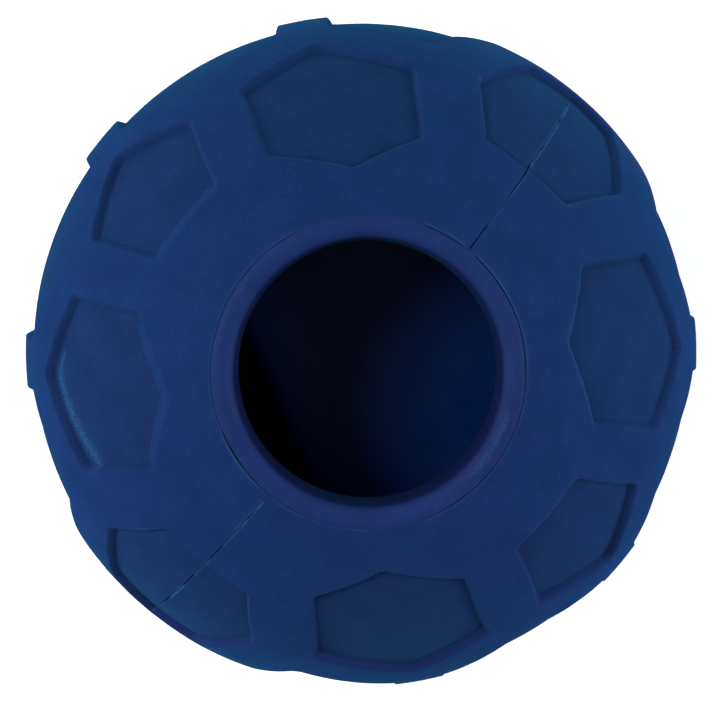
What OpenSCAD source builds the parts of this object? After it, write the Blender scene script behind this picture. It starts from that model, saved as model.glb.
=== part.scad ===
// Treat dispensing ball: a hollow rubber ball with a wide mouth and sunk pads.
// Millimetres. +Z points up through the mouth, and the origin is the middle of the flat under the ball.

/* [Ball] */
// Diameter over the raised lands between the pads
ball_d = 108; // [96:1:127]
// Thickness of the wall under the lands
wall = 8.5; // [7.5:0.1:11]
// Depth of the sunk pads
pad_depth = 1.3; // [0.6:0.1:1.8]
// Depth below the lands at which the sloping walls of one pad would meet
pad_slope_depth = 20; // [14:1:40]
// Diameter of the flat that the ball stands on
base_d = 30; // [20:1:32]
// Turn of the joint between the shells, from +X
joint_turn = 50.75; // [0:0.25:90]

/* [Mouth] */
// Diameter of the passage through the mouth ring
mouth_d = 39.6; // [34:0.2:44]
// Width of the mouth ring's face, from the passage to the line around it
lip_w = 4.3; // [4.2:0.1:5.5]
// Radius of the rounding from the ball's surface into the passage
lip_round = 2.9; // [1.5:0.1:2.9]
// How far the ring's flange reaches into the shells
flange_reach = 3; // [1.6:0.2:4]
// Thickness of that flange
flange_t = 2.6; // [1.8:0.1:3.2]
// Depth of the flange's upper face below the line around the mouth
flange_drop = 3.6; // [3:0.1:4.2]

/* [Joints] */
// Gap that the adhesive fills between two bonded faces
bond_gap = 0.1; // [0.05:0.05:0.2]
// Width of the tongue that lines up the shells
tongue_w = 2.4; // [1.6:0.1:2.6]
// Height of that tongue
tongue_h = 1.8; // [1:0.1:3]
// Rubber left outside the tongue, below the floors of the pads
tongue_cover = 1.9; // [1.6:0.1:2.2]
// Rubber left between the tongue's ends and the mouth ring's flange
tongue_end = 1.2; // [0.6:0.1:3]

/* [Baffle] */
// Thickness of the divider across the cavity
baffle_t = 4; // [3:0.5:6]
// How far the divider's rim is let into the shells
baffle_seat = 1.6; // [1:0.1:1.8]
// Distance from the ball's axis to the divider's straight edge
baffle_edge = 16; // [10:0.5:24]
// Turn of that edge from the joint between the shells
baffle_turn = 153; // [0:1:180]

/* [Hidden] */
$fn = 96;

land_r = ball_d / 2;
floor_r = land_r - pad_depth;
cavity_r = land_r - wall;
centre_h = sqrt(pow(land_r, 2) - pow(base_d / 2, 2));
mouth_r = mouth_d / 2;
ring_r = mouth_r + lip_w;
ring_line_z = sqrt(pow(land_r, 2) - pow(ring_r, 2));
flange_r = ring_r + flange_reach;
flange_top = ring_line_z - flange_drop;
tongue_out_r = floor_r - tongue_cover;
baffle_r = cavity_r + baffle_seat;
// Overrun of every cut
over = 1;

// Corners of each sunk pad, as angles: the turn from the joint and the tilt from the mouth's axis.
// Every other pad is one of these, turned over about the shell's middle or about the equator.
side_pad = [[43.25, 35.5], [63.9, 42.2], [63.4, 59.2], [47.8, 66.8], [30, 59.9], [26.1, 42.9]];
middle_pad = [[79, 42], [101, 42], [104.4, 58.6], [90, 67.3], [75.6, 58.6]];
joint_pad = [[-11.3, 47.8], [11.3, 47.8], [17, 62], [9, 77.5], [-9, 77.5], [-17, 62]];
inner_belt_pad = [[27.5, 70.5], [44.5, 78], [44.5, 102], [27.5, 109.5], [15.3, 90]];
outer_belt_pad = [[69.75, 68], [85.5, 77.5], [85.5, 102.5], [69.75, 112], [54, 102.5], [54, 77.5]];

function across(corners) = [for (c = corners) [180 - c[0], c[1]]];
function below(corners) = [for (c = corners) [c[0], 180 - c[1]]];
function heading(c) = [sin(c[1]) * cos(c[0]), sin(c[1]) * sin(c[0]), cos(c[1])];
function total(list, i = 0) = i < len(list) ? list[i] + total(list, i + 1) : [0, 0, 0];
// A heading seen from a frame whose +Z has the given turn and tilt
function seen_from(v, turn, tilt) =
    let (along = v.x * cos(turn) + v.y * sin(turn))
    [along * cos(tilt) - v.z * sin(tilt), v.y * cos(turn) - v.x * sin(turn), along * sin(tilt) + v.z * cos(tilt)];

module left_shell() {
    color("#1c3467")
        placed(joint_turn) {
            half_shell();
            tongue(tongue_w, tongue_h, 0);
        }
}

module right_shell() {
    color("#1d366b")
        placed(joint_turn + 180)
            difference() {
                half_shell();
                mirror([0, 1, 0])
                    tongue(tongue_w + 2 * bond_gap, tongue_h + bond_gap, bond_gap);
            }
}

module mouth_ring() {
    color("#1e3063")
        placed(0)
            rotate_extrude()
                ring_section();
}

module treat_baffle() {
    color("#16305f")
        placed(joint_turn + baffle_turn)
            intersection() {
                cylinder(r = baffle_r, h = baffle_t, center = true);
                rotate([90, 0, 0])
                    linear_extrude(2 * baffle_r, center = true)
                        round_ended_plate();
            }
}

module placed(turn) {
    translate([0, 0, centre_h])
        rotate([0, 0, turn])
            children();
}

// The shell on the +Y side of the joint, around the ball's centre
module half_shell() {
    difference() {
        intersection() {
            sphere(land_r);
            translate([-land_r, bond_gap / 2, -centre_h])
                cube([2 * land_r, land_r, centre_h + land_r]);
        }
        sphere(cavity_r);
        mouth_seat();
        cylinder(r = baffle_r + bond_gap, h = baffle_t + 2 * bond_gap, center = true);
        sunk_pads();
    }
}

module mouth_seat() {
    cylinder(r = ring_r + bond_gap, h = land_r);
    translate([0, 0, flange_top - flange_t - bond_gap])
        cylinder(r = flange_r + bond_gap, h = flange_t + 2 * bond_gap);
}

module sunk_pads() {
    for (pad = [side_pad, joint_pad, inner_belt_pad, outer_belt_pad]) {
        sunk_pad(pad);
        sunk_pad(across(pad));
    }
    for (pad = [side_pad, joint_pad]) {
        sunk_pad(below(pad));
        sunk_pad(below(across(pad)));
    }
    sunk_pad(middle_pad);
    sunk_pad(below(middle_pad));
}

// What one pad takes out of the lands, down to its round floor
module sunk_pad(corners) {
    headings = [for (c = corners) heading(c)];
    middle = total(headings);
    turn = atan2(middle.y, middle.x);
    tilt = acos(middle.z / norm(middle));
    apex = land_r - pad_slope_depth;
    tops = [for (h = headings) land_r * seen_from(h, turn, tilt)];
    low = floor_r / land_r * min([for (t = tops) t.z]) - over;
    high = land_r + over;
    outline = [for (t = tops) [t.x, t.y] * (low - apex) / (t.z - apex)];
    difference() {
        rotate([0, tilt, turn])
            translate([0, 0, low])
                linear_extrude(high - low, scale = (high - apex) / (low - apex))
                    polygon(outline);
        sphere(floor_r);
    }
}

// A ridge around the joint face, half in the wall, open where the mouth is
module tongue(w, h, end_gap) {
    difference() {
        translate([0, bond_gap, 0])
            rotate([90, 0, 0])
                difference() {
                    cylinder(r = tongue_out_r + (w - tongue_w) / 2, h = h + bond_gap);
                    cylinder(r = tongue_out_r - (w + tongue_w) / 2, h = h + bond_gap);
                }
        cylinder(r = flange_r + bond_gap + tongue_end - end_gap, h = land_r);
    }
}

// Half of the ring's section: x is the distance from the axis and y the height above the centre
module ring_section() {
    difference() {
        intersection() {
            difference() {
                circle(land_r);
                circle(cavity_r);
            }
            translate([mouth_r, 0])
                square([lip_w, land_r]);
        }
        lip_corner();
    }
    translate([mouth_r + lip_w / 2, flange_top - flange_t])
        square([lip_w / 2 + flange_reach, flange_t]);
}

// What the rounding takes off the corner between the ball's surface and the passage
module lip_corner() {
    x = mouth_r + lip_round;
    y = sqrt(pow(land_r - lip_round, 2) - pow(x, 2));
    reach = (land_r + over) / norm([x, y]);
    difference() {
        polygon([[x, y], [mouth_r - over, y], [mouth_r - over, land_r], [x, y] * reach]);
        translate([x, y])
            circle(lip_round, $fn = 48);
    }
}

module round_ended_plate() {
    translate([-baffle_r - over, -baffle_t / 2])
        square([baffle_r + over + baffle_edge - baffle_t / 2, baffle_t]);
    translate([baffle_edge - baffle_t / 2, 0])
        circle(d = baffle_t, $fn = 48);
}

left_shell();
right_shell();
mouth_ring();
treat_baffle();
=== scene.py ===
"""Looks of the treat dispensing ball: two rubber shells with sunk pads, a mouth ring and a divider inside.

Metres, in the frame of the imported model: +Z points up through the mouth and the origin is under the ball.
"""

import math

import bmesh
import bpy
import numpy as np
from mathutils import Matrix, Vector
from mathutils.geometry import delaunay_2d_cdt


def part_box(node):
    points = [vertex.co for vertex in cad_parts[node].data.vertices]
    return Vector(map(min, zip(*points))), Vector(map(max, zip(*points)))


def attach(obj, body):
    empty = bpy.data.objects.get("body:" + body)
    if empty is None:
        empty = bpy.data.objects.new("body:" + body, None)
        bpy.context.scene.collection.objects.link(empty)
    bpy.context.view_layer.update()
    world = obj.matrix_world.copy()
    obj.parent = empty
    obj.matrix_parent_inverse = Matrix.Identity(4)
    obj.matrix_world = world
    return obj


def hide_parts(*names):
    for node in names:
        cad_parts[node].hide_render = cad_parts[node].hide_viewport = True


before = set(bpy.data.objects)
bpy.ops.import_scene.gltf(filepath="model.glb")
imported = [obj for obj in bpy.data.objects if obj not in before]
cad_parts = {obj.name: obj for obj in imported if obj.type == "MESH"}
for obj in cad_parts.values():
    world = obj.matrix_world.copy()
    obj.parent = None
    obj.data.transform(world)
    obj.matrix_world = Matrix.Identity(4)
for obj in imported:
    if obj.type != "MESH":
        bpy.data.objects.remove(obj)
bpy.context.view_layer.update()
scene = bpy.context.scene

MM = 0.001
FULL_TURN = 360

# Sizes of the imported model, to a tenth of a millimetre
baffle_low, baffle_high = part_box("treat_baffle")
land_r = round(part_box("right_shell")[1].x, 4)
flange_r = round(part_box("mouth_ring")[1].x, 4)
baffle_r = round(max(-baffle_low.x, -baffle_low.y, baffle_high.x, baffle_high.y), 4)
baffle_t = round(baffle_high.z - baffle_low.z, 4)
centre_h = (baffle_low.z + baffle_high.z) / 2
centre = Vector((0, 0, centre_h))

# The same sizes as the solids have, where their boxes don't show them
pad_depth = 1.3 * MM
wall = 8.5 * MM
base_r = 15 * MM
mouth_r = 19.8 * MM
lip_w = 4.3 * MM
lip_round = 2.9 * MM
lip_turn_r = 0.6 * MM
lip_turn_at = 131
mouth_flare = 6.8
# The ring is painted with shade down its bore, from the first to the second of these distances from the axis
bore_shade_from = 21.35 * MM
bore_shade_to = 20.2 * MM
flange_t = 2.6 * MM
flange_drop = 3.6 * MM
bond_gap = 0.1 * MM
tongue_w = 2.4 * MM
tongue_h = 1.8 * MM
tongue_cover = 1.9 * MM
tongue_end = 1.2 * MM
baffle_edge = 16 * MM
joint_turn = 50.75
baffle_turn = 153

floor_r = land_r - pad_depth
cavity_r = land_r - wall
ring_r = mouth_r + lip_w
ring_line_z = math.sqrt(land_r**2 - ring_r**2)
ring_tilt = math.degrees(math.asin(ring_r / land_r))
flange_top = ring_line_z - flange_drop
tongue_out_r = floor_r - tongue_cover

# Corners of each sunk pad: the turn from the joint and the tilt from the mouth's axis, in degrees
side_pad = [(43.25, 35.5), (63.9, 42.2), (63.4, 59.2), (48.2, 67.1), (30, 59.9), (26.1, 42.9)]
middle_pad = [(79, 42.8), (101, 42.8), (104.4, 59.2), (90, 68), (75.6, 59.2)]
joint_pad = [(-11.3, 47.8), (11.3, 47.8), (17, 62), (8.5, 80), (0, 83), (-8.5, 80), (-17, 62)]
inner_belt_pad = [(27.5, 70.5), (44.5, 78), (44.5, 102), (27.5, 109.5), (15.3, 90)]
outer_belt_pad = [(69.75, 68), (85.5, 77.5), (85.5, 102.5), (69.75, 112), (54, 102.5), (54, 77.5)]

# Shape of the moulded edges
pad_corner_r = 1.2 * MM
least_corner_r = 0.02 * MM
# A pad's wall, by the way that it faces: where the land begins to fall and where the foot lies, as distances
# in from the pad's edge, and how soft the crest is
side_wall = np.array([-0.7 * MM, 0.1 * MM, 1.4])
wall_toward_mouth = np.array([-1.45 * MM, -0.5 * MM, 1.5])
wall_from_mouth = np.array([-0.45 * MM, 0.6 * MM, 1.2])
# On the left the walls that face away from the mouth are broader
left_turn = 165
left_wall_from_mouth = np.array([-0.9 * MM, 1.7 * MM, 1.15])
# The band that holds every wall, and the lines of points along it
wall_low, wall_high = -1.55 * MM, 1.85 * MM
wall_lines = 20
# A painted highlight along the crest of the right pads' walls on the mouth's side
crest_highlight_turn = 0
crest_highlight_w = 0.27 * MM
crest_highlight_share = 0.55
# The way that a wall faces is felt over a short step toward the pole, and comes in fast beside the equator
lean_step = 0.3 * MM
lean_rise = 4
# How far round the ball a side reaches, as a cosine, and how it fades
side_reach_share = 0.55
side_fade_share = 0.3
# The shade at the foot of the walls: its reach up the wall and over the floor, and its strength
foot_shade_up = 0.2 * MM
foot_shade_in = 0.25 * MM
foot_shade_far = 0.7 * MM
foot_shade_away = 0.5 * MM
foot_shade = 0.19
# How much fainter it is on walls that face the mouth, and on side walls on the left
facing_faint_share = 0.5
left_faint_share = 0.6
# The wander of the pads' edges, and the roundness of the base's edge
pad_edge_wander = 0.07 * MM
pad_edge_wavelength = 9 * MM
base_edge_round = 0.3 * MM
# The unevenness of the shells, the ring and the divider: each depth, and how far apart its bumps are
skin_uneven = [(0.06 * MM, 21 * MM), (0.012 * MM, 4.5 * MM)]
ring_uneven = [(0.05 * MM, 16 * MM), (0.01 * MM, 4 * MM)]
plate_uneven = [(0.06 * MM, 14 * MM)]

# Spacing of the points on the skins
loop_step = 0.6 * MM
fill_step = 1.4 * MM
columns_per_half = 150
# What the spread points keep from the lines on the joint, round the mouth and base, and at the pads' walls
joint_margin = 0.5 * MM
mouth_margin = 0.6 * MM
base_margin = 1.3 * MM
land_margin = 0.5 * MM
floor_margin = 0.6 * MM
# Two points of the rim nearer than this would be one
rim_margin = 0.15 * MM
base_loops = [-0.9 * MM, -0.45 * MM, 0, 0.45 * MM, 0.9 * MM]
nub_loop_shares = [0.35, 0.7, 1.1, 1.5]
nub_loop_points = 8
# What the half circles keep from the joint: round the nubs in radians, and round the mouth in degrees
nub_loop_end = 0.2
mouth_loop_end = 1.2
# Points nearer than this are joined, shorter edges than this go, and steeper turns than this, in degrees,
# look sharp
same_place = 0.002 * MM
least_edge = 0.001 * MM
sharp_turn = 50
# The outer surface is taken to reach this far below the pads' floors
skin_margin = 1 * MM
# Tolerances on the flat map, where half the ball is a disc of radius 1
same_point = 1e-6
near_rim = 2e-6
near_mouth = 3e-6
exact = 1e-9
# Stands in for lengths of nothing where they divide
tiny = 1e-12

# The joint line: the crack's half width and depth, and the height and half width of the flash beside it
crack_w = 0.17 * MM
crack_d = 0.5 * MM
flash_h = 0.2 * MM
flash_w = 0.2 * MM
seam_loops = [0.05 * MM, 0.11 * MM, 0.17 * MM, 0.25 * MM, 0.36 * MM, 0.55 * MM, 0.9 * MM]
line_margin = 0.45 * MM

# Stretches of the joint line as tilt from, tilt to, share of the full crack, share of the full flash
upper_seam = [(27, 32.2, 0.8, 0.1), (32.2, 40.5, 0.2, 0.2), (40.5, 47.3, 0.9, 0.45), (47.3, 49.4, 1.0, 0.7),
              (49.4, 66.8, 0.4, 1.0), (66.8, 78, 0.05, 0.8), (78, 100, 0.05, 0.1)]
lower_seam = [(28, 37.4, 0.35, 0.9), (37.4, 41, 0.2, 0.2), (41, 45.3, 0.8, 0.1), (45.3, 53.6, 0.12, 0.4),
              (53.6, 58.7, 0.75, 0.1), (58.7, 66.3, 0.3, 0.95), (66.3, 72, 0.6, 0.2), (72, 100, 0.3, 0.3)]
hidden_crack = 0.3
hidden_flash = 0.35
# The tilt past which these two hold, and the softness of every stretch's ends, in degrees
hidden_from = 98
hidden_soft = 4
stretch_soft = 0.8
mouth_stretch_soft = 2.5
# How the crack and the flash break up: the spacing of the breaks and of the smaller chips
break_wavelength = 3.2 * MM
chip_wavelength = 1.1 * MM
chip_share = 0.6
mouth_break_wavelength = 5 * MM
# How those vary the crack, the flash and the crack round the mouth: the middle, the swing and the most
crack_breaks = (0.9, 0.45, 1.3)
flash_breaks = (0.75, -0.5, 1.4)
mouth_breaks = (0.9, 0.3, 1.2)
# The flash round the mouth, as shares of the joint line's: its height and its painted highlight
mouth_flash_share = 0.35
mouth_highlight_share = 0.5
# Stretches of the line round the mouth as turn from, turn to, share of the full crack
mouth_line = [(-70, -3, 0.35), (-3, 20, 0.55), (20, 47.5, 1.0), (52.7, 69, 0.6), (115, 145, 0.35),
              (145, 202, 0.3), (202, 225, 1.0), (225, 229, 0.4), (230.5, 246, 0.5), (246, 270, 0.3)]
# Scuffs as turn from +X and tilt of both ends, and half width
scuffs = [((178.5, 63.4), (182.5, 65.2), 0.5 * MM), ((182.5, 65.2), (187.5, 63.4), 0.85 * MM),
          ((187.5, 63.4), (193.5, 60.6), 1.1 * MM), ((193.5, 60.6), (200.2, 57.4), 1.1 * MM),
          ((213.9, 61.5), (218.8, 48.5), 0.3 * MM),
          ((67.8, 63.5), (65.8, 57), 0.16 * MM)]
# Strength of the scuffs and of the painted highlight on the crests
scuff_and_highlight_share = 0.7
# The painted highlight on the mouth ring's lip: its distance from the axis, half width and turn from and to
lip_highlight_r = 22.25 * MM
lip_highlight_w = 0.4 * MM
lip_highlight_turns = (311, 347)
lip_highlight_soft = 8
lip_highlight_share = 0.42
# Dust on the belt's lands: how far it reaches from the equator in degrees, how firmly it comes in, and the
# turn from +X where there is none
dust_reach = 20
dust_rise = 1.6
dust_on_land_power = 3
clean_turn = 160
# Nubs of flash on the joint line as tilt, side of the joint and height
nub_r = 0.42 * MM
nubs = [(27.6, 1, 0.25 * MM), (67.3, 1, 0.3 * MM), (76.9, 1, 0.35 * MM),
        (61.5, -1, 0.3 * MM), (65.8, -1, 0.25 * MM), (28.1, -1, 0.2 * MM)]
# A faint crease in the land, from and to as turn from the joint and tilt
crease_from = (25.7, 42.7)
crease_to = (16.9, 30.7)
crease_w = 0.45 * MM
crease_d = 0.05 * MM
# As shares of its length: how soft its ends are, and how far the lines of points run past them
crease_fade = 0.2
crease_overrun = 0.15
crease_points = 28

# Points along the inner surface and the joint's tongue, and along and round the mouth ring
upper_cavity_points = 40
lower_cavity_points = 60
tongue_outer_points = 160
tongue_inner_points = 150
line_wall_points = 6
lip_points = 26
lip_turn_points = 9
bore_points = 12
ring_end_points = 5
ring_columns = 360
# How far below the line round the mouth the straight walls begin, and the strip of the ring beside that line
line_wall_drop = 1 * MM
ring_edge_w = 0.06 * MM

# The divider: the spacing of the points on its plate, their number along its rim and straight edge, and how
# near the rim and the edge its faces are less uneven
plate_step = 2 * MM
plate_steps = 24
plate_rim_points = 220
nose_columns = 90
nose_rows = 13
plate_even_w = 4 * MM

# The camera: how far the mouth's axis leans from the line of sight, and the photograph's measures
mouth_lean_right = 1.361
mouth_lean_down = 4.027
camera_distance = 0.9
camera_aside = Vector((-0.145 * MM, -1.49 * MM))
sensor_w = 36 * MM
picture_px = 720
focal_px = 5588.5

# The sky's strengths near the horizon and overhead, and the heights between which they change
horizon_light, overhead_light = 0.12, 0.235
sky_low, sky_high = 0.3, 0.85
# Each lamp: its turn from +X and tilt from the mouth's axis in degrees, its width, and its power in watts
lamps = {"key": (158.5, 31.5, 0.337, 6), "left_lamp": (180, 75, 0.9, 6.3), "right_lamp": (0, 75, 0.9, 5.6),
         "front_lamp": (0, 48, 0.9, 3.6)}
lamp_distance = 1.2
floor_glow = 0.62
floor_shade = 0.9
floor_rough = 0.9
floor_reach = 4


def length(v):
    return np.linalg.norm(v, axis=-1)


def unit(v):
    return v / np.maximum(length(v)[..., None], tiny)


def heading(turn, tilt):
    """Unit vectors with these turns from the joint and tilts from the mouth's axis, in degrees."""
    turn, tilt = np.broadcast_arrays(np.radians(turn), np.radians(tilt))
    return np.stack([np.sin(tilt) * np.cos(turn), np.sin(tilt) * np.sin(turn), np.cos(tilt)], -1)


def level_heading(turn):
    """Unit vectors square to the mouth's axis, with these turns in degrees."""
    return np.stack([np.cos(np.radians(turn)), np.sin(np.radians(turn)), np.zeros_like(turn)], -1)


def bump(distance, half_w):
    """1 at no distance, falling smoothly to almost 0 at twice the half width."""
    return np.exp(-((distance / half_w) ** 2))


def soft_step(x):
    x = np.clip(x, 0, 1)
    return x * x * (3 - 2 * x)


def ripple(points, wavelength, seed, waves=32):
    """Smooth unevenness over points, about -1 to 1, with bumps about one wavelength apart."""
    rng = np.random.RandomState(seed)
    directions = unit(rng.normal(size=(waves, 3)))
    phases = rng.uniform(0, math.tau, waves)
    turns = points @ directions.T * (math.tau / wavelength) + phases
    return np.cos(turns).sum(-1) / math.sqrt(2 * waves)


def unevenness(points, sizes, seed):
    """How far an uneven skin lies from its plain form, mostly inward."""
    layers = enumerate(sizes, seed)
    return sum(depth * (ripple(points, wavelength, k) - 1) for k, (depth, wavelength) in layers)


def stretched(value, stretches, column, soft):
    """The share that the stretches give at each value, with soft ends."""
    share = np.zeros_like(value)
    for stretch in stretches:
        rise = soft_step((value - stretch[0]) / soft + 0.5)
        fall = soft_step((stretch[1] - value) / soft + 0.5)
        share = np.maximum(share, stretch[column] * rise * fall)
    return share


def broken_up(share, broken, middle, swing, most):
    """A share along a line, with its breaks."""
    return share * np.clip(middle + swing * broken, 0, most)


class Pad:
    """A sunk pad: its corners laid flat round its middle, and the distance of any heading from its edge."""

    def __init__(self, corners):
        headings = np.array([heading(*c) for c in corners])
        self.middle = unit(headings.sum(0))
        self.east = unit(np.cross([0, 0, 1], self.middle))
        self.north = np.cross(self.middle, self.east)
        flat = self.flatten(headings)
        angles = np.arctan2(flat[:, 1], flat[:, 0])
        self.core = self.shrunk(flat[np.argsort(angles)], pad_corner_r)

    def flatten(self, headings):
        along = np.clip(headings @ self.middle, -1, 1)
        angle = np.arccos(along)
        stretch = land_r * angle / np.maximum(np.sin(angle), 1e-9)
        return np.stack([headings @ self.east, headings @ self.north], -1) * stretch[..., None]

    def lift(self, flat):
        distance = length(flat)[..., None]
        side = (flat[..., :1] * self.east + flat[..., 1:] * self.north) / np.maximum(distance, tiny)
        return np.cos(distance / land_r) * self.middle + np.sin(distance / land_r) * side

    @staticmethod
    def shrunk(corners, inset):
        """The convex polygon with each side moved in."""
        sides = np.roll(corners, -1, 0) - corners
        inward = unit(np.stack([-sides[:, 1], sides[:, 0]], -1))
        moved = corners + inward * inset
        new = []
        for i in range(len(corners)):
            before = i - 1
            matrix = np.array([sides[before], -sides[i]]).T
            share = np.linalg.solve(matrix, moved[i] - moved[before])[0]
            new.append(moved[before] + share * sides[before])
        return np.array(new)

    def inside(self, headings):
        """Distance in from the pad's edge along the surface, negative outside it."""
        flat = self.flatten(headings)
        nearest = np.full(flat.shape[:-1], np.inf)
        within = np.full(flat.shape[:-1], True)
        for start, end in zip(self.core, np.roll(self.core, -1, 0)):
            side = end - start
            from_start = flat - start
            share = np.clip(from_start @ side / (side @ side), 0, 1)
            gap = length(from_start - share[..., None] * side)
            nearest = np.minimum(nearest, gap)
            within &= side[0] * from_start[..., 1] - side[1] * from_start[..., 0] > 0
        return np.where(within, nearest, -nearest) + pad_corner_r

    @staticmethod
    def outward_angle(side):
        """The angle of the normal that points out of the pad from one of its sides."""
        return math.atan2(-side[0], side[1])

    def loop(self, inset):
        """Headings along the pad's edge, moved in by inset: straight sides with an arc at each corner."""
        radius = max(pad_corner_r - inset, least_corner_r)
        core = self.shrunk(self.core, inset - pad_corner_r) if inset > pad_corner_r else self.core
        points = []
        for before, corner, after in zip(np.roll(core, 1, 0), core, np.roll(core, -1, 0)):
            start, end = self.outward_angle(corner - before), self.outward_angle(after - corner)
            sweep = (end - start) % (math.tau)
            steps = max(2, math.ceil(sweep * radius / (loop_step / 2)))
            for k in range(steps + 1):
                angle = start + sweep * k / steps
                points.append(corner + radius * np.array([math.cos(angle), math.sin(angle)]))
            count = max(1, round(length(after - corner) / loop_step))
            shift = radius * np.array([math.cos(end), math.sin(end)])
            points += [corner + shift + (after - corner) * k / count for k in range(1, count)]
        return self.lift(np.array(points))


def across(corners):
    return [(180 - turn, tilt) for turn, tilt in corners]


def below(corners):
    return [(turn, 180 - tilt) for turn, tilt in corners]


def all_pads():
    patterns = [middle_pad, below(middle_pad)]
    for corners in (side_pad, joint_pad, inner_belt_pad, outer_belt_pad):
        patterns += [corners, across(corners)]
    for corners in (side_pad, joint_pad):
        patterns += [below(corners), below(across(corners))]
    return [Pad(corners) for corners in patterns]


class Skin:
    """The outer surface of one shell, in the shell's own frame, with its middle along +Y."""

    def __init__(self, turn, flash_share, seed):
        self.turn = turn
        self.flash_share = flash_share
        self.seed = seed
        self.pads = all_pads()
        self.sides = (upper_seam, lower_seam) if turn == joint_turn else (lower_seam, upper_seam)
        self.nub_sign = 1 if turn == joint_turn else -1

    def pad_distance(self, headings):
        """Distance in from the nearest pad's edge, which wanders a little."""
        distance = np.max([pad.inside(headings) for pad in self.pads], 0)
        wander = ripple(headings * land_r, pad_edge_wavelength, self.seed + 1)
        return distance + pad_edge_wander * wander

    def wall_facing(self, headings, distance):
        """How much the nearest wall faces the mouth's end of its half, and how much it faces away."""
        pole = np.where(headings[:, 2:] < 0, -1, 1) * np.array([0, 0, 1])
        toward = unit(pole - (pole * headings).sum(-1, keepdims=True) * headings)
        beside = unit(headings + toward * lean_step / land_r)
        lean = (self.pad_distance(beside) - distance) / lean_step
        lean = lean * np.clip(np.abs(headings[:, 2]) * lean_rise, 0, 1)
        return soft_step(lean), soft_step(-lean)

    def wall_shape(self, headings):
        """Distance in from the nearest pad's edge, the wall's crest, foot and softness, and its facing."""
        distance = self.pad_distance(headings)
        facing, away = self.wall_facing(headings, distance)
        left = self.near_turn(headings, left_turn)[:, None]
        from_mouth = wall_from_mouth + (left_wall_from_mouth - wall_from_mouth) * left
        shape = side_wall + (wall_toward_mouth - side_wall) * facing[:, None]
        shape = shape + (from_mouth - side_wall) * away[:, None]
        return distance, shape.T, facing - away

    def near_turn(self, headings, middle):
        """1 about that turn from +X, fading to 0 round the ball."""
        turn = np.arctan2(headings[:, 1], headings[:, 0]) + math.radians(self.turn - middle)
        return soft_step((np.cos(turn) - side_reach_share) / side_fade_share)

    def sunk(self, headings):
        """Share of the full pad depth."""
        distance, (crest, foot, softness), _ = self.wall_shape(headings)
        return np.clip((distance - crest) / (foot - crest), 0, 1) ** softness

    def crest_highlight_at(self, headings):
        """How strong the painted highlight is on the crests that face away from the mouth on the right."""
        distance, (crest, _, _), facing = self.wall_shape(headings)
        line = bump(distance - crest, crest_highlight_w) * np.maximum(-facing, 0)
        return crest_highlight_share * line * self.near_turn(headings, crest_highlight_turn)

    def foot_at(self, headings):
        """How deep the shade at the foot of the walls is."""
        distance, (_, foot, _), facing = self.wall_shape(headings)
        toward, away = np.maximum(facing, 0), np.maximum(-facing, 0)
        inside = distance - foot
        over = foot_shade_in + (foot_shade_far - foot_shade_in) * toward
        over += (foot_shade_away - foot_shade_in) * away
        faint = away + left_faint_share * (1 - np.abs(facing))
        share = 1 - facing_faint_share * toward - faint * self.near_turn(headings, left_turn)
        return bump(inside, np.where(inside < 0, foot_shade_up, over)) * share

    def scuff_and_highlight_at(self, headings):
        """How scuffed the skin is along the scuffs, with the painted highlight on the crests added."""
        share = self.crest_highlight_at(headings)
        for start, end, half_w in scuffs:
            a, b = (heading(turn - self.turn, tilt) for turn, tilt in (start, end))
            along = np.clip((headings - a) @ (b - a) / ((b - a) @ (b - a)), 0, 1)
            nearest = unit(a + along[:, None] * (b - a))
            distance = land_r * length(headings - nearest)
            share = np.maximum(share, bump(distance, half_w))
        return share * scuff_and_highlight_share

    def dust_at(self, headings):
        """How dusty the skin is: only on the lands near the belt, and least on the left."""
        tilt = np.degrees(np.arccos(np.clip(headings[:, 2], -1, 1)))
        turn = np.arctan2(headings[:, 1], headings[:, 0]) + math.radians(self.turn - clean_turn)
        belt = soft_step(dust_rise * (1 - np.abs(tilt - 90) / dust_reach))
        return belt * (1 - np.cos(turn)) / 2 * (1 - self.sunk(headings)) ** dust_on_land_power

    def seam_shares(self, headings):
        """Shares of the full crack and flash along the joint line."""
        tilt = np.degrees(np.arctan2(headings[:, 0], headings[:, 2]))
        points = headings * land_r
        broken = ripple(points, break_wavelength, 5) + chip_share * ripple(points, chip_wavelength, 6)
        shares = []
        for column, hidden in ((2, hidden_crack), (3, hidden_flash)):
            first = stretched(tilt, self.sides[0], column, stretch_soft)
            second = stretched(-tilt, self.sides[1], column, stretch_soft)
            far = soft_step((np.abs(tilt) - hidden_from) / hidden_soft) * hidden
            shares.append(np.maximum(first + second, far))
        crack, flash = shares
        return broken_up(crack, broken, *crack_breaks), broken_up(flash, broken, *flash_breaks)

    def joint_line(self, headings):
        """Shares of the full crack's depth and of the full flash's height, at the joint line."""
        distance = land_r * np.arcsin(np.clip(headings[:, 1], 0, 1))
        crack, flash = self.seam_shares(headings)
        ridge = flash * self.flash_share * bump(distance - flash_w / 2, flash_w)
        return crack * np.clip(1 - distance / crack_w, 0, 1), ridge

    def mouth_circle(self, headings):
        """Shares of the full crack's depth and of its flash's height, at the line round the mouth."""
        distance = self.from_mouth(headings)
        turn = np.degrees(np.arctan2(headings[:, 1], headings[:, 0])) + self.turn
        share = mouth_crack((turn + 90) % FULL_TURN - 90)
        return share * np.clip(1 - distance / crack_w, 0, 1), share * bump(distance - crack_w, flash_w)

    def flash_highlight_at(self, headings):
        """How strong the painted highlight along the flash is."""
        joint = self.joint_line(headings)[1]
        return np.clip(joint + mouth_highlight_share * self.mouth_circle(headings)[1], 0, 1)

    def crack_at(self, headings):
        """How dark the joint line and the line round the mouth are."""
        return np.clip(self.joint_line(headings)[0] + self.mouth_circle(headings)[0], 0, 1)

    def from_mouth(self, headings):
        """Distance from the line round the mouth."""
        return land_r * (np.arccos(np.clip(headings[:, 2], -1, 1)) - math.radians(ring_tilt))

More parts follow.
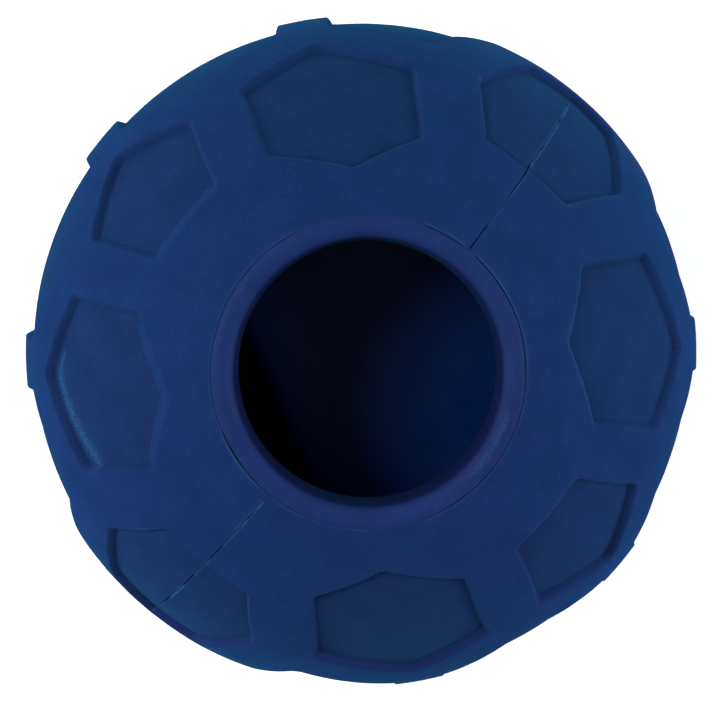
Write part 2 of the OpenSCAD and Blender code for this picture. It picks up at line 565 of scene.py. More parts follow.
    def line_rise(self, headings):
        """Height of the flash less the depth of the crack, at the joint line and round the mouth."""
        joint_groove, joint_ridge = self.joint_line(headings)
        mouth_groove, mouth_ridge = self.mouth_circle(headings)
        flash = flash_h * (joint_ridge + mouth_flash_share * mouth_ridge)
        return flash - crack_d * (joint_groove + mouth_groove)

    def nub_rise(self, headings):
        rise = np.zeros(len(headings))
        for tilt, side, height in nubs:
            middle = heading(0, tilt * side * self.nub_sign)
            distance = land_r * np.arccos(np.clip(headings @ middle, -1, 1))
            rise += height * bump(distance, nub_r) ** 2
        return rise

    def crease_rise(self, headings):
        """The faint crease, which only the first shell has."""
        if self.turn != joint_turn:
            return np.zeros(len(headings))
        start, end = heading(*crease_from), heading(*crease_to)
        distance = land_r * np.abs(headings @ unit(np.cross(start, end)))
        reach = (headings - start) @ unit(end - start) / length(end - start)
        ends = soft_step(reach / crease_fade) * soft_step((1 - reach) / crease_fade)
        near = headings @ start > 0
        return -crease_d * near * ends * bump(distance, crease_w) ** 3

    def radius(self, headings):
        """Distance of the surface from the ball's centre."""
        radius = land_r - pad_depth * self.sunk(headings)
        radius += unevenness(headings * land_r, skin_uneven, self.seed + 2)
        radius += self.line_rise(headings) + self.nub_rise(headings) + self.crease_rise(headings)
        flat = centre_h / np.maximum(-headings[:, 2], 0.1)
        soft = base_edge_round
        return -soft * np.logaddexp(-radius / soft, -flat / soft)

    def points(self, headings):
        return headings * self.radius(headings)[:, None]


def mouth_crack(turn):
    """Share of the full crack round the mouth at each turn from +X, from -90 to 270."""
    broken = ripple(level_heading(turn) * ring_r, mouth_break_wavelength, 11)
    return broken_up(stretched(turn, mouth_line, 2, mouth_stretch_soft), broken, *mouth_breaks)


def flatten_half(headings):
    """Stereographic map of the half space y > 0 onto the unit disc."""
    return headings[:, [0, 2]] / (1 + headings[:, 1:2])


def lift_half(flat):
    scale = 2 / (1 + (flat**2).sum(-1))
    return np.stack([flat[:, 0] * scale, scale - 1, flat[:, 1] * scale], -1)


def inside_runs(flat, closed):
    """The runs of a flat line that lie in the unit disc, with their ends exactly on its rim."""
    if closed:
        flat = np.vstack([flat, flat[:1]])
        out = np.flatnonzero((flat**2).sum(-1) >= 1)
        if len(out):
            flat = np.vstack([flat[out[0]:-1], flat[:out[0] + 1]])
    radius = length(flat)
    runs, run = [], []
    for i in range(len(flat)):
        if radius[i] < 1:
            if not run and i > 0:
                run.append(rim_point(flat[i - 1], flat[i]))
            run.append(flat[i])
        elif run:
            run.append(rim_point(flat[i], flat[i - 1]))
            runs.append(np.array(run))
            run = []
    if run:
        runs.append(np.array(run))
    return runs


def rim_point(outer, inner):
    share = (length(outer) - 1) / (length(outer) - length(inner))
    return unit(outer + share * (inner - outer))


def seam_line(distance):
    """Headings at one distance from the joint plane, clear of the mouth."""
    low = math.radians(ring_tilt) + line_margin / land_r
    count = round((math.tau - 2 * low) * land_r / loop_step)
    angle = np.linspace(low, math.tau - low, count)
    side = distance / land_r
    reach = math.cos(side)
    return np.stack([reach * np.sin(angle), np.full(count, math.sin(side)), reach * np.cos(angle)], -1)


def ring_lines():
    """Headings of half circles close to the line round the mouth and to the edge of the flat base."""
    lines = []
    for distance in seam_loops:
        turns = np.linspace(mouth_loop_end, 180 - mouth_loop_end, columns_per_half)
        lines.append(heading(turns, ring_tilt + math.degrees(distance / land_r)))
    base_tilt = 180 - tilt_at(land_r, base_r)
    for distance in base_loops:
        turns = np.linspace(0, 180, columns_per_half)
        lines.append(heading(turns, base_tilt + math.degrees(distance / land_r)))
    return lines


def crease_lines():
    start, end = heading(*crease_from), heading(*crease_to)
    square = unit(np.cross(start, end))
    shares = np.linspace(-crease_overrun, 1 + crease_overrun, crease_points)[:, None]
    middle = start + (end - start) * shares
    return [unit(middle + square * k * crease_w / 3 / land_r) for k in range(-3, 4)]


def nub_rings(skin):
    rings = []
    for tilt, side, _ in nubs:
        middle = heading(0, tilt * side * skin.nub_sign)
        east = unit(np.cross(middle, [0, 1, 0]))
        for share in nub_loop_shares:
            angle = np.linspace(nub_loop_end, math.pi - nub_loop_end, nub_loop_points)
            around = np.cos(angle)[:, None] * east + np.sin(angle)[:, None] * np.array([0, 1, 0])
            rings.append(unit(middle + around * share * nub_r / land_r))
    return rings


def spread_headings():
    """Evenly spread headings all round the ball, along a spiral."""
    count = round(4 * math.pi * land_r**2 / (fill_step**2 * math.sqrt(3) / 2))
    index = np.arange(count) + 0.5
    height = 1 - 2 * index / count
    turn = index * math.pi * (3 - math.sqrt(5))
    flat = np.sqrt(1 - height**2)
    return np.stack([flat * np.cos(turn), height, flat * np.sin(turn)], -1)


def fill_headings(skin):
    """The spread headings on the plain stretches between the lines."""
    found = spread_headings()
    found = found[found[:, 1] * land_r > seam_loops[-1] + joint_margin]
    found = found[skin.from_mouth(found) > seam_loops[-1] + mouth_margin]
    from_base = np.abs(length(found[:, :2]) * land_r - base_r)
    found = found[(from_base > base_margin) | (found[:, 2] > 0)]
    distance = np.max([pad.inside(found) for pad in skin.pads], 0)
    return found[(distance < wall_low - land_margin) | (distance > wall_high + floor_margin)]


def mouth_edge():
    """Headings of the half circle where a skin ends round the mouth."""
    edge = heading(np.linspace(0, 180, columns_per_half + 1), ring_tilt)
    edge[[0, -1], 1] = 0
    return edge


def skin_runs(skin):
    """The flat lines that a skin's triangles keep to: mouth, pads' walls, joint and fine forms."""
    runs = [flatten_half(mouth_edge())]
    for pad in skin.pads:
        for inset in np.linspace(wall_low, wall_high, wall_lines):
            runs += inside_runs(flatten_half(pad.loop(inset)), True)
    lines = [seam_line(distance) for distance in seam_loops] + ring_lines() + nub_rings(skin)
    if skin.turn == joint_turn:
        lines += crease_lines()
    for line in lines:
        runs += inside_runs(flatten_half(line), False)
    ends = [p for run in runs[1:] for p in (run[0], run[-1])]
    rim_ends = [p for p in ends if abs(length(p) - 1) < exact]
    return runs + [rim_line(np.array(rim_ends))]


def off_mouth(flat):
    """Distance of flat points from the line round the mouth, which the flat map shows as a circle too."""
    up = math.cos(math.radians(ring_tilt))
    return np.abs(length(flat - [0, 1 / up]) - math.sqrt(1 / up**2 - 1))


def triangulated_skin(skin):
    """Points and triangles of the outer surface, in the shell's frame, and which points are on the joint."""
    points, edges = [], []
    for run in skin_runs(skin):
        edges += [(len(points) + k, len(points) + k + 1) for k in range(len(run) - 1)]
        points += [Vector(p) for p in run]
    points += [Vector(p) for p in flatten_half(fill_headings(skin))]
    flat, _, faces, *_ = delaunay_2d_cdt(points, edges, [], 0, same_point, False)
    flat = np.array([tuple(p) for p in flat])
    on_rim = length(flat) > 1 - near_rim
    flat[on_rim] = unit(flat[on_rim])
    on_mouth = off_mouth(flat) < near_mouth
    kept = [f for f in faces if not all(on_mouth[i] for i in f)]
    headings = lift_half(flat)
    headings[on_rim, 1] = 0
    return skin.points(headings), kept, on_rim


def rim_line(rim_ends):
    """The joint's outer edge from one side of the mouth to the other, through every line that ends on it."""
    low = math.radians(ring_tilt)
    count = round((math.tau - 2 * low) * land_r / loop_step)
    even = np.linspace(low, math.tau - low, count + 1)
    ends = np.sort(np.arctan2(rim_ends[:, 0], rim_ends[:, 1]) % (math.tau))
    gaps = np.abs(even[:, None] - ends[None]).min(1)
    kept = even[(gaps > rim_margin / land_r) | (even == even[0]) | (even == even[-1])]
    angles = np.unique(np.round(np.concatenate([kept, ends]), 7))
    return np.stack([np.sin(angles), np.cos(angles)], -1)


def arc(radius, start, end, count):
    """Points (distance from the axis, height) on a circle round the ball's centre, by tilt in degrees."""
    tilt = np.radians(np.linspace(start, end, count))
    return [(radius * math.sin(t), radius * math.cos(t)) for t in tilt]


def tilt_at(radius, distance):
    return math.degrees(math.asin(distance / radius))


def cavity_profile():
    """The inner surface of a shell from just below the line round the mouth to the bottom of the cavity."""
    seat_top = flange_top + bond_gap
    seat_low = flange_top - flange_t - bond_gap
    groove_r = flange_r + bond_gap
    slot_r = baffle_r + bond_gap
    slot_z = baffle_t / 2 + bond_gap
    slot_tilt = math.degrees(math.acos(slot_z / cavity_r))
    wall_top = ring_line_z - line_wall_drop
    profile = [(ring_r, z) for z in np.linspace(wall_top, seat_top, line_wall_points)]
    profile += [(groove_r, seat_top), (groove_r, seat_low), (ring_r, seat_low)]
    profile += arc(cavity_r, tilt_at(cavity_r, ring_r), slot_tilt, upper_cavity_points)
    profile += [(slot_r, slot_z), (slot_r, -slot_z)]
    profile += arc(cavity_r, 180 - slot_tilt, 179, lower_cavity_points)
    return profile


def grid_faces(rows, wide):
    """Quads between rows of points, each row as wide as that."""
    starts = [r * wide + c for r in range(rows - 1) for c in range(wide - 1)]
    return [(s, s + wide, s + wide + 1, s + 1) for s in starts]


def half_lathe(skin, profile):
    """The inner surface, hung from the skin's edge: its points and faces, and its two lines on the joint."""
    around = level_heading(np.linspace(0, 180, columns_per_half + 1))
    around[[0, -1], 1] = 0
    rows = [skin.points(mouth_edge())]
    rows += [around * reach + np.array([0, 0, height]) for reach, height in profile]
    wide = len(around)
    faces = grid_faces(len(rows), wide)
    last = (len(rows) - 1) * wide
    points = np.vstack(rows + [[[0, 0, -cavity_r]]])
    faces += [(last + c, len(points) - 1, last + c + 1) for c in range(wide - 1)]
    joint_rows = [row[0] for row in rows], [row[-1] for row in rows]
    return points, faces, joint_rows


def tongue_outline():
    """The tongue's outline on the joint face as (x, z): an arc beside the skin, open where the mouth is."""
    inner_r = tongue_out_r - tongue_w
    end_x = flange_r + bond_gap + tongue_end
    outer_tilt, inner_tilt = tilt_at(tongue_out_r, end_x), tilt_at(inner_r, end_x)
    outer = arc(tongue_out_r, outer_tilt, FULL_TURN - outer_tilt, tongue_outer_points)
    inner = arc(inner_r, FULL_TURN - inner_tilt, inner_tilt, tongue_inner_points)
    return outer + inner


def face_outline(rim, joint_rows):
    """The joint face's outline as (x, z): the skin's edge, then the inner surface's lines."""
    order = np.argsort(np.arctan2(rim[:, 0], rim[:, 2]) % (math.tau))
    near, far = joint_rows
    outline = [(rim[i, 0], rim[i, 2]) for i in order]
    outline += [(p[0], p[2]) for p in far[1:]]
    outline.append((0, -cavity_r))
    return outline + [(p[0], p[2]) for p in near[:0:-1]]


def joint_face(rim, joint_rows, tongue_rise):
    """The flat face on the joint between the skin and the cavity, with the tongue or its groove."""
    outline = face_outline(rim, joint_rows)
    points = [Vector(p) for p in outline[::-1] + tongue_outline()[::-1]]
    loops = [list(range(len(outline))), list(range(len(outline), len(points)))]
    flat, _, faces, _, _, sources = delaunay_2d_cdt(points, [], loops, 1, exact, True)
    made = [[p.x, 0, p.y] for p in flat]
    raised = {}
    kept = []
    for face, source in zip(faces, sources):
        if 1 in source:
            for i in face:
                if i not in raised:
                    raised[i] = len(made)
                    made.append([made[i][0], -tongue_rise, made[i][2]])
            kept.append(tuple(raised[i] for i in face))
        elif source:
            kept.append(tuple(face))
    return np.array(made), kept + tongue_walls(faces, sources, raised)


def tongue_walls(faces, sources, raised):
    """Quads that join the tongue's top to the joint face round it."""
    edges = set()
    for face, source in zip(faces, sources):
        if 1 in source:
            for a, b in zip(face, list(face[1:]) + [face[0]]):
                edges.symmetric_difference_update({(min(a, b), max(a, b))})
    return [(a, b, raised[b], raised[a]) for a, b in sorted(edges)]


def build_shell(name, skin, tongue_rise, material):
    """One closed shell: its skin, the surface inside, and the joint face between them."""
    outer, outer_faces, on_rim = triangulated_skin(skin)
    inner, inner_faces, joint_rows = half_lathe(skin, cavity_profile())
    joint, joint_faces = joint_face(outer[on_rim], joint_rows, tongue_rise)
    points, faces = joined([(outer, outer_faces), (inner, inner_faces), (joint, joint_faces)])
    place = Matrix.Translation(centre) @ Matrix.Rotation(math.radians(skin.turn), 4, "Z")
    mesh = closed_mesh(name, points, faces, place)
    paint_shell(mesh, skin, place)
    add_piece(name, mesh, material)


def paint_shell(mesh, skin, place):
    """What shows on the outer surface: the pads' floors, painted shade, scuffs with painted highlights,
    dust, flash with its painted highlight, and cracks.
    """
    local = (positions(mesh) - [0, 0, centre_h]) @ np.array(place.to_3x3())
    on_skin = length(local) > floor_r - skin_margin
    headings = unit(local)
    headings[:, 1] = np.maximum(headings[:, 1], 0)
    shown = {"sunk": skin.sunk, "foot": skin.foot_at, "scuff_and_highlight": skin.scuff_and_highlight_at, "dust": skin.dust_at,
             "flash": skin.flash_highlight_at, "crack": skin.crack_at}
    for name, share_at in shown.items():
        paint(mesh, name, np.where(on_skin, share_at(headings), 0))


def joined(parts):
    """The points and faces of several parts as one list each."""
    points, faces = [], []
    for part_points, part_faces in parts:
        faces += [tuple(i + len(points) for i in f) for f in part_faces]
        points += [tuple(p) for p in part_points]
    return points, faces


def positions(mesh):
    found = np.zeros(len(mesh.vertices) * 3)
    mesh.vertices.foreach_get("co", found)
    return found.reshape(-1, 3)


def paint(mesh, name, values):
    attribute = mesh.attributes.new(name, "FLOAT", "POINT")
    attribute.data.foreach_set("value", np.asarray(values, np.float32))


def closed_mesh(name, points, faces, place):
    """A mesh from points and faces, with its doubles joined and its normals outward."""
    mesh = bpy.data.meshes.new(name)
    mesh.from_pydata(points, [], faces)
    build = bmesh.new()
    build.from_mesh(mesh)
    bmesh.ops.remove_doubles(build, verts=build.verts, dist=same_place)
    bmesh.ops.dissolve_degenerate(build, edges=build.edges, dist=least_edge)
    bmesh.ops.recalc_face_normals(build, faces=build.faces)
    build.transform(place)
    build.to_mesh(mesh)
    build.free()
    mesh.polygons.foreach_set("use_smooth", [True] * len(mesh.polygons))
    mesh.set_sharp_from_angle(angle=math.radians(sharp_turn))
    return mesh


def placed(name, data):
    """A new object in the scene."""
    made = bpy.data.objects.new(name, data)
    scene.collection.objects.link(made)
    return made


def add_piece(node_name, mesh, material):
    """The piece that is seen in place of a node's solid."""
    piece = placed(node_name + "_rubber", mesh)
    mesh.materials.append(material)
    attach(piece, "root")
    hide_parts(node_name)


def round_corner(x, z, radius, start, end, count):
    """Points on a circle round (x, z), by angle from the level in degrees."""
    angles = np.radians(np.linspace(start, end, count))
    return [(x + radius * math.cos(a), z + radius * math.sin(a)) for a in angles]


def ring_profile():
    """The mouth ring's section as (distance from the axis, height), and how many points of it are skin."""
    fillet_x = mouth_r + lip_round
    fillet_z = math.sqrt((land_r - lip_round) ** 2 - fillet_x**2)
    start = math.degrees(math.atan2(fillet_z, fillet_x))
    bore_low = math.sqrt(cavity_r**2 - mouth_r**2)
    profile = arc(land_r, ring_tilt, ring_tilt - math.degrees(ring_edge_w / land_r), 2)
    profile += round_corner(fillet_x, fillet_z, lip_round, start, lip_turn_at, lip_points)
    side = math.radians(lip_turn_at)
    turn_x = fillet_x + (lip_round - lip_turn_r) * math.cos(side)
    turn_z = fillet_z + (lip_round - lip_turn_r) * math.sin(side)
    lip_end = 180 - mouth_flare
    profile += round_corner(turn_x, turn_z, lip_turn_r, lip_turn_at, lip_end, lip_turn_points)[1:]
    top_x, top_z = profile[-1]
    for share in np.linspace(0, 1, bore_points)[1:-1]:
        profile.append((top_x + (mouth_r - top_x) * share, top_z + (bore_low - top_z) * share))
    skin_rows = len(profile)
    bore_tilt, outer_tilt = tilt_at(cavity_r, mouth_r), tilt_at(cavity_r, ring_r - bond_gap)
    profile += arc(cavity_r, bore_tilt, outer_tilt, ring_end_points)
    outer = ring_r - bond_gap / 2
    flange_low = flange_top - flange_t
    profile += [(outer, flange_low), (flange_r, flange_low), (flange_r, flange_top), (outer, flange_top)]
    profile.append((outer, ring_line_z - line_wall_drop))
    return np.array(profile), skin_rows


def ring_rows(profile, skin_rows):
    """The mouth ring's points, row by row, with the crack of the line round it and slight unevenness."""
    turns = np.arange(ring_columns) * FULL_TURN / ring_columns
    around = level_heading(turns)
    share = mouth_crack((turns + 90) % FULL_TURN - 90)
    rows = []
    for k, (reach, height) in enumerate(profile):
        row = around * reach + np.array([0, 0, height])
        if k < skin_rows:
            from_line = math.hypot(reach - profile[0][0], height - profile[0][1])
            groove = crack_d * share * max(0.0, 1 - from_line / crack_w)
            row = row + unit(row) * (unevenness(row, ring_uneven, 21) - groove)[:, None]
        rows.append(row)
    return rows


def build_ring(material):
    """The mouth ring: a soft lip on a flanged body."""
    rows = ring_rows(*ring_profile())
    faces = []
    for r in range(len(rows)):
        row, next_row = r * ring_columns, (r + 1) % len(rows) * ring_columns
        for c in range(ring_columns):
            beside = (c + 1) % ring_columns
            faces.append((row + c, row + beside, next_row + beside, next_row + c))
    points = [tuple(p) for p in np.vstack(rows)]
    mesh = closed_mesh("mouth_ring", points, faces, Matrix.Translation(centre))
    paint_ring(mesh)
    add_piece("mouth_ring", mesh, material)


def paint_ring(mesh):
    """The painted shade down the bore, and the painted highlight on the lip."""
    flat = positions(mesh)[:, :2]
    reach = length(flat)
    turn = np.degrees(np.arctan2(flat[:, 1], flat[:, 0])) % FULL_TURN
    first, last = lip_highlight_turns
    ends = soft_step((turn - first) / lip_highlight_soft) * soft_step((last - turn) / lip_highlight_soft)
    paint(mesh, "sunk", soft_step((bore_shade_from - reach) / (bore_shade_from - bore_shade_to)))
    paint(mesh, "scuff_and_highlight", lip_highlight_share * ends * bump(reach - lip_highlight_r, lip_highlight_w))


def plate_rim(nose):
    """Points along the divider's round rim, from one end of its straight edge to the other."""
    start = math.acos(nose / baffle_r)
    angles = np.linspace(start, math.tau - start, plate_rim_points)
    return [(baffle_r * math.cos(a), baffle_r * math.sin(a)) for a in angles]


def plate_faces(rim, nose):
    """The divider's two flat faces, which sag a little."""
    nose_half = math.sqrt(baffle_r**2 - nose**2)
    outline = rim + [(nose, nose_half * s) for s in np.linspace(-1, 1, nose_columns)[1:-1]]
    inner = []
    for i in range(-plate_steps, plate_steps + 1):
        for j in range(-plate_steps, plate_steps + 1):
            x, y = i * plate_step, j * plate_step
            if math.hypot(x, y) < baffle_r - plate_step and x < nose - plate_step:
                inner.append((x, y))
    points = [Vector(p) for p in outline + inner]
    loops = [list(range(len(outline)))]
    flat, _, faces, *_ = delaunay_2d_cdt(points, [], loops, 1, exact, False)
    flat = np.array([tuple(p) for p in flat])
    level = np.column_stack([flat, np.zeros(len(flat))])
    sag = unevenness(level, plate_uneven, 31)
    sag *= np.clip((baffle_r - length(flat)) / plate_even_w, 0, 1)
    sag *= np.clip((nose - flat[:, 0]) / plate_even_w, 0, 1)
    top = np.column_stack([flat, baffle_t / 2 + sag])
    low = np.column_stack([flat, -baffle_t / 2 - sag])
    return joined([(top, faces), (low, [f[::-1] for f in faces])])


def plate_nose(nose):
    """The divider's straight edge, rounded from one face to the other, with its two flat ends."""
    half = baffle_t / 2
    points = []
    for phi in np.linspace(math.pi / 2, -math.pi / 2, nose_rows):
        x = nose + half * math.cos(phi)
        reach = math.sqrt(baffle_r**2 - x**2)
        points += [(x, reach * s, half * math.sin(phi)) for s in np.linspace(-1, 1, nose_columns)]
    ends = [tuple(r * nose_columns + c for r in range(nose_rows)) for c in (0, nose_columns - 1)]
    return points, grid_faces(nose_rows, nose_columns) + ends


def plate_wall(rim):
    """The wall round the divider's rim."""
    points = [(x, y, baffle_t / 2) for x, y in rim] + [(x, y, -baffle_t / 2) for x, y in rim]
    wide = len(rim)
    return points, [(k, k + 1, wide + k + 1, wide + k) for k in range(wide - 1)]


def build_baffle(material):
    """The divider: a round plate let into the shells, with one straight, full-round edge."""
    nose = baffle_edge - baffle_t / 2
    rim = plate_rim(nose)
    points, faces = joined([plate_faces(rim, nose), plate_nose(nose), plate_wall(rim)])
    turned = Matrix.Rotation(math.radians(joint_turn + baffle_turn), 4, "Z")
    mesh = closed_mesh("treat_baffle", points, faces, Matrix.Translation(centre) @ turned)
    add_piece("treat_baffle", mesh, material)


def node(tree, kind, **values):
    made = tree.nodes.new(kind)
    for key, value in values.items():
        if key in made.inputs:
            made.inputs[key].default_value = value
        else:
            setattr(made, key, value)
    return made


def set_inputs(made, values):
    for name, value in values.items():
        made.inputs[name].default_value = value


# Linear colours of the light scuffs with the painted highlights and of the flash's painted highlight, of the
# cracks' insides and the painted shade, and of the dust
pale_mark_and_highlight = (0.03, 0.13, 0.31, 1)
painted_shade_and_crack_tone = (0.002, 0.006, 0.025, 1)
dust_tone = (0.075, 0.055, 0.085, 1)
sheen_tint = (0, 0.62, 1, 1)
white = (1, 1, 1, 1)
# What the cloudy patches and the lower side multiply the rubber's colour by
cloud_cast = (1.08, 0.93, 0.98, 1)
low_cast = (1.17, 0.9, 1.0, 1)
# The lower side's cast comes in between these places along Y
low_cast_from = 20 * MM
low_cast_to = -40 * MM
sheen_spread = 0.45
# Each kind of noise: how often it repeats in a metre, its detail and roughness, and where it has a range,
# the stretch of it that shows and what the two ends of that stretch become
cast_noise = (55, 3, 0.55, 0.45, 0.68, 0, 1)
cloud_noise = (170, 4, 0.55, 0.3, 0.7, 0.9, 1.1)
dust_patches = (70, 3, 0.55, 0.4, 0.6, 0.2, 1)
dust_specks = (1700, 2, 0.7, 0.4, 0.65, 0.05, 0.36)
scratch_and_highlight_noise = (2300, 3, 0.65, 0.4, 0.62, 0.12, 1)
dent_noise = (480, 3, 0.55)
# The speckle and the grain repeat as often as each rubber says, the grain a little oftener
speckle_noise = (2, 0.7, 0.3, 0.7, 0.86, 1.16)
grain_noise = (3, 0.6)
grain_rise = 1.3
# The shine's noise, and how far the roughness swings with it
shine_noise = (300, 3, 0.55, 0.3, 0.7)
rough_swing = 0.06
# How strong and how deep the fine grain and the broader dents are
grain_bump = {"Strength": 0.35, "Distance": 0.03 * MM}
dent_bump = {"Strength": 0.3, "Distance": 0.05 * MM}


class Nodes:
    """The nodes of one material, built from small steps."""

    def __init__(self, name):
        self.material = bpy.data.materials.new(name)
        self.material.use_nodes = True
        self.tree = self.material.node_tree
        self.shader = self.tree.nodes["Principled BSDF"]
        self.place = self.add("ShaderNodeTexCoord").outputs["Object"]

    def add(self, kind, **values):
        return node(self.tree, kind, **values)

    def link(self, output, socket):
        self.tree.links.new(output, socket)

    def noise(self, scale, detail, rough):
        made = self.add("ShaderNodeTexNoise", Scale=scale, Detail=detail, Roughness=rough)
        self.link(self.place, made.inputs["Vector"])
        return made.outputs["Fac"]

    def mixed(self, kind, factor, first, second):
        made = self.add("ShaderNodeMix", data_type="RGBA", blend_type=kind)
        for socket, value in ((made.inputs[0], factor), (made.inputs[6], first), (made.inputs[7], second)):
            if isinstance(value, bpy.types.NodeSocket):
                self.link(value, socket)
            else:
                socket.default_value = value
        return made.outputs[2]

    def times(self, first, second):
        made = self.add("ShaderNodeMath", operation="MULTIPLY")
        self.link(first, made.inputs[0])
        self.link(second, made.inputs[1])
        return made.outputs[0]

    def ranged(self, value, low, high, to_low, to_high):
        made = self.add("ShaderNodeMapRange")
        self.link(value, made.inputs[0])
        for k, number in enumerate((low, high, to_low, to_high)):
            made.inputs[k + 1].default_value = number
        return made.outputs[0]

    def mottled(self, scale, detail, rough, *stretch):
        """A noise brought from one stretch to another."""
        return self.ranged(self.noise(scale, detail, rough), *stretch)

    def painted(self, name):
        return self.add("ShaderNodeAttribute", attribute_name=name).outputs["Fac"]


def base_tone(nodes, land, floor, grain):
    """The rubber's colour: two tones by the depth of the pads, which on the ring are its rubber and the
    painted shade down the bore, cloudy patches, a cast toward the lower side and a fine speckle.
    """
    tone = nodes.mixed("MIX", nodes.painted("sunk"), (*land, 1), (*floor, 1))
    tone = nodes.mixed("MULTIPLY", nodes.mottled(*cast_noise), tone, cloud_cast)
    parts = nodes.add("ShaderNodeSeparateXYZ")
    nodes.link(nodes.place, parts.inputs[0])
    lower = nodes.ranged(parts.outputs[1], low_cast_from, low_cast_to, 0, 1)
    tone = nodes.mixed("MULTIPLY", lower, tone, low_cast)
    uneven = nodes.times(nodes.mottled(*cloud_noise), nodes.mottled(grain, *speckle_noise))
    return nodes.mixed("MULTIPLY", 1.0, tone, uneven)


def marked_tone(nodes, tone):
    """The base colour with painted shade at the walls' feet, dust, scuffs with painted highlights, flash
    with its painted highlight, and cracks over it.
    """
    # Painted shade at the foot of the walls
    shade = nodes.ranged(nodes.painted("foot"), 0, 1, 0, foot_shade)
    tone = nodes.mixed("MIX", shade, tone, painted_shade_and_crack_tone)
    dust = nodes.times(nodes.mottled(*dust_patches), nodes.mottled(*dust_specks))
    tone = nodes.mixed("MIX", nodes.times(nodes.painted("dust"), dust), tone, dust_tone)
    # Light scuffs, with painted highlights on the right pads' crests and on the ring's lip
    scuffs_and_highlights_shown = nodes.times(nodes.painted("scuff_and_highlight"), nodes.mottled(*scratch_and_highlight_noise))
    tone = nodes.mixed("MIX", scuffs_and_highlights_shown, tone, pale_mark_and_highlight)
    # Painted highlight along the flash
    tone = nodes.mixed("MIX", nodes.painted("flash"), tone, pale_mark_and_highlight)
    return nodes.mixed("MIX", nodes.painted("crack"), tone, painted_shade_and_crack_tone)


def add_grain(nodes, grain):
    """A fine grain over broader, shallow dents."""
    fine = nodes.add("ShaderNodeBump", **grain_bump)
    nodes.link(nodes.noise(grain * grain_rise, *grain_noise), fine.inputs["Height"])
    broad = nodes.add("ShaderNodeBump", **dent_bump)
    nodes.link(nodes.noise(*dent_noise), broad.inputs["Height"])
    nodes.link(fine.outputs[0], broad.inputs["Normal"])
    nodes.link(broad.outputs[0], nodes.shader.inputs["Normal"])


def rubber(name, land, floor, grain, roughness, sheen, gloss):
    """Matte rubber with the colours of its lands and floors, where the ring's floor colour is painted shade
    down the bore, its grain's scale, and how it shines.
    """
    nodes = Nodes(name)
    shader = nodes.shader
    nodes.link(marked_tone(nodes, base_tone(nodes, land, floor, grain)), shader.inputs["Base Color"])
    rough = nodes.mottled(*shine_noise, roughness - rough_swing, roughness + rough_swing)
    nodes.link(rough, shader.inputs["Roughness"])
    set_inputs(shader, {"Specular IOR Level": gloss, "Sheen Weight": sheen, "Sheen Roughness": sheen_spread,
                        "Sheen Tint": sheen_tint})
    add_grain(nodes, grain)
    return nodes.material


def add_camera():
    """The camera at the photograph's angle, looking down on the mouth."""
    right_lean, down_lean = math.radians(mouth_lean_right), math.radians(mouth_lean_down)
    back = Vector((-math.sin(right_lean), math.cos(right_lean) * math.sin(down_lean),
                   math.cos(right_lean) * math.cos(down_lean)))
    right = Vector((back.z, 0, -back.x)).normalized()
    up = back.cross(right)
    data = bpy.data.cameras.new("camera")
    data.sensor_width = sensor_w / MM
    data.lens = sensor_w / MM * focal_px / picture_px
    camera = placed("camera", data)
    place = centre + camera_aside.x * right + camera_aside.y * up + camera_distance * back
    camera.matrix_world = Matrix.Translation(place) @ Matrix((right, up, back)).transposed().to_4x4()
    scene.camera = camera


def add_lamp(name, turn, tilt, size, power):
    """A round soft light that faces the ball."""
    data = bpy.data.lights.new(name, "AREA")
    data.shape = "DISK"
    data.size = size
    data.energy = power
    light = placed(name, data)
    toward = Vector(heading(turn, tilt))
    light.location = centre + toward * lamp_distance
    light.rotation_mode = "QUATERNION"
    light.rotation_quaternion = toward.to_track_quat("Z", "Y")


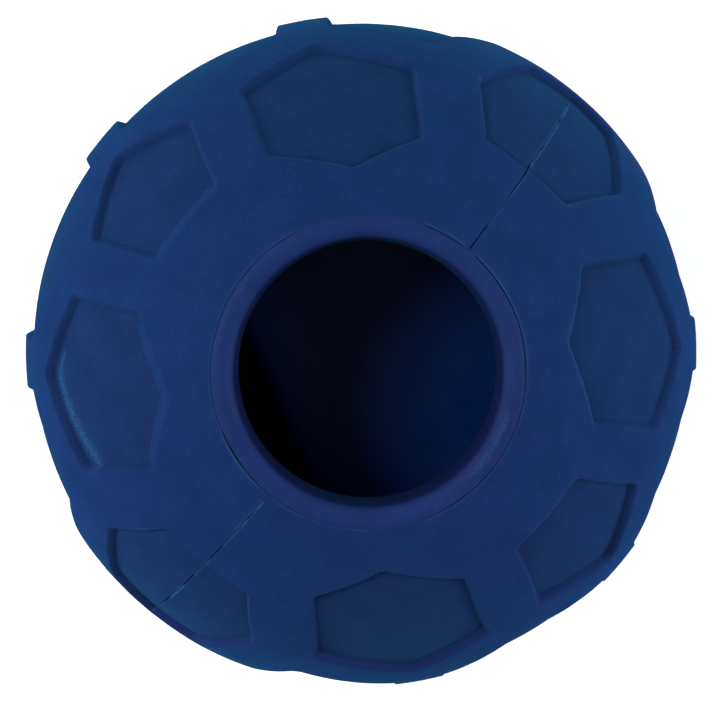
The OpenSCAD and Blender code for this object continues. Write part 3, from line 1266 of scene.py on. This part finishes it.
def add_world():
    """Soft light from all round, somewhat stronger overhead, where the camera is."""
    world = bpy.data.worlds.new("studio")
    world.use_nodes = True
    scene.world = world
    tree = world.node_tree
    background = tree.nodes["Background"]
    set_inputs(background, {"Color": white})
    place = node(tree, "ShaderNodeTexCoord").outputs["Generated"]
    parts = node(tree, "ShaderNodeSeparateXYZ")
    tree.links.new(place, parts.inputs[0])
    ramp = node(tree, "ShaderNodeMapRange", interpolation_type="SMOOTHSTEP")
    for k, number in enumerate((sky_low, sky_high, horizon_light, overhead_light)):
        ramp.inputs[k + 1].default_value = number
    tree.links.new(parts.outputs[2], ramp.inputs[0])
    tree.links.new(ramp.outputs[0], background.inputs["Strength"])


def add_floor():
    """A plain pale floor that glows a little, as a lit table does."""
    corners = [(-1, -1), (1, -1), (1, 1), (-1, 1)]
    mesh = bpy.data.meshes.new("floor")
    mesh.from_pydata([(x * floor_reach, y * floor_reach, 0) for x, y in corners], [], [(0, 1, 2, 3)])
    material = bpy.data.materials.new("floor_white")
    material.use_nodes = True
    shader = material.node_tree.nodes["Principled BSDF"]
    set_inputs(shader, {"Base Color": (floor_shade, floor_shade, floor_shade, 1), "Roughness": floor_rough,
                        "Specular IOR Level": 0, "Emission Color": white, "Emission Strength": floor_glow})
    mesh.materials.append(material)
    placed("floor", mesh)


add_camera()
add_world()
add_floor()
for lamp_name, lamp in lamps.items():
    add_lamp(lamp_name, *lamp)
scene.view_settings.view_transform = "Standard"

shell_rubber = rubber("shell_rubber", land=(0.01, 0.035, 0.1365), floor=(0.0103, 0.0332, 0.12),
                      grain=2600, roughness=0.6, sheen=0.075, gloss=0.0)
# The ring's second tone is painted shade down the bore
ring_rubber = rubber("ring_rubber", land=(0.0115, 0.0335, 0.147), floor=(0.0085, 0.0125, 0.08),
                     grain=3200, roughness=0.52, sheen=0.03, gloss=0.06)
inner_rubber = rubber("inner_rubber", land=(0.0003, 0.0178, 0.113), floor=(0.0003, 0.0178, 0.113),
                      grain=2600, roughness=0.34, sheen=0.0, gloss=0.11)

build_shell("left_shell", Skin(joint_turn, flash_share=0.35, seed=40), tongue_h, shell_rubber)
groove_rise = -tongue_h - bond_gap
build_shell("right_shell", Skin(joint_turn + 180, flash_share=1.0, seed=60), groove_rise, shell_rubber)
build_ring(ring_rubber)
build_baffle(inner_rubber)
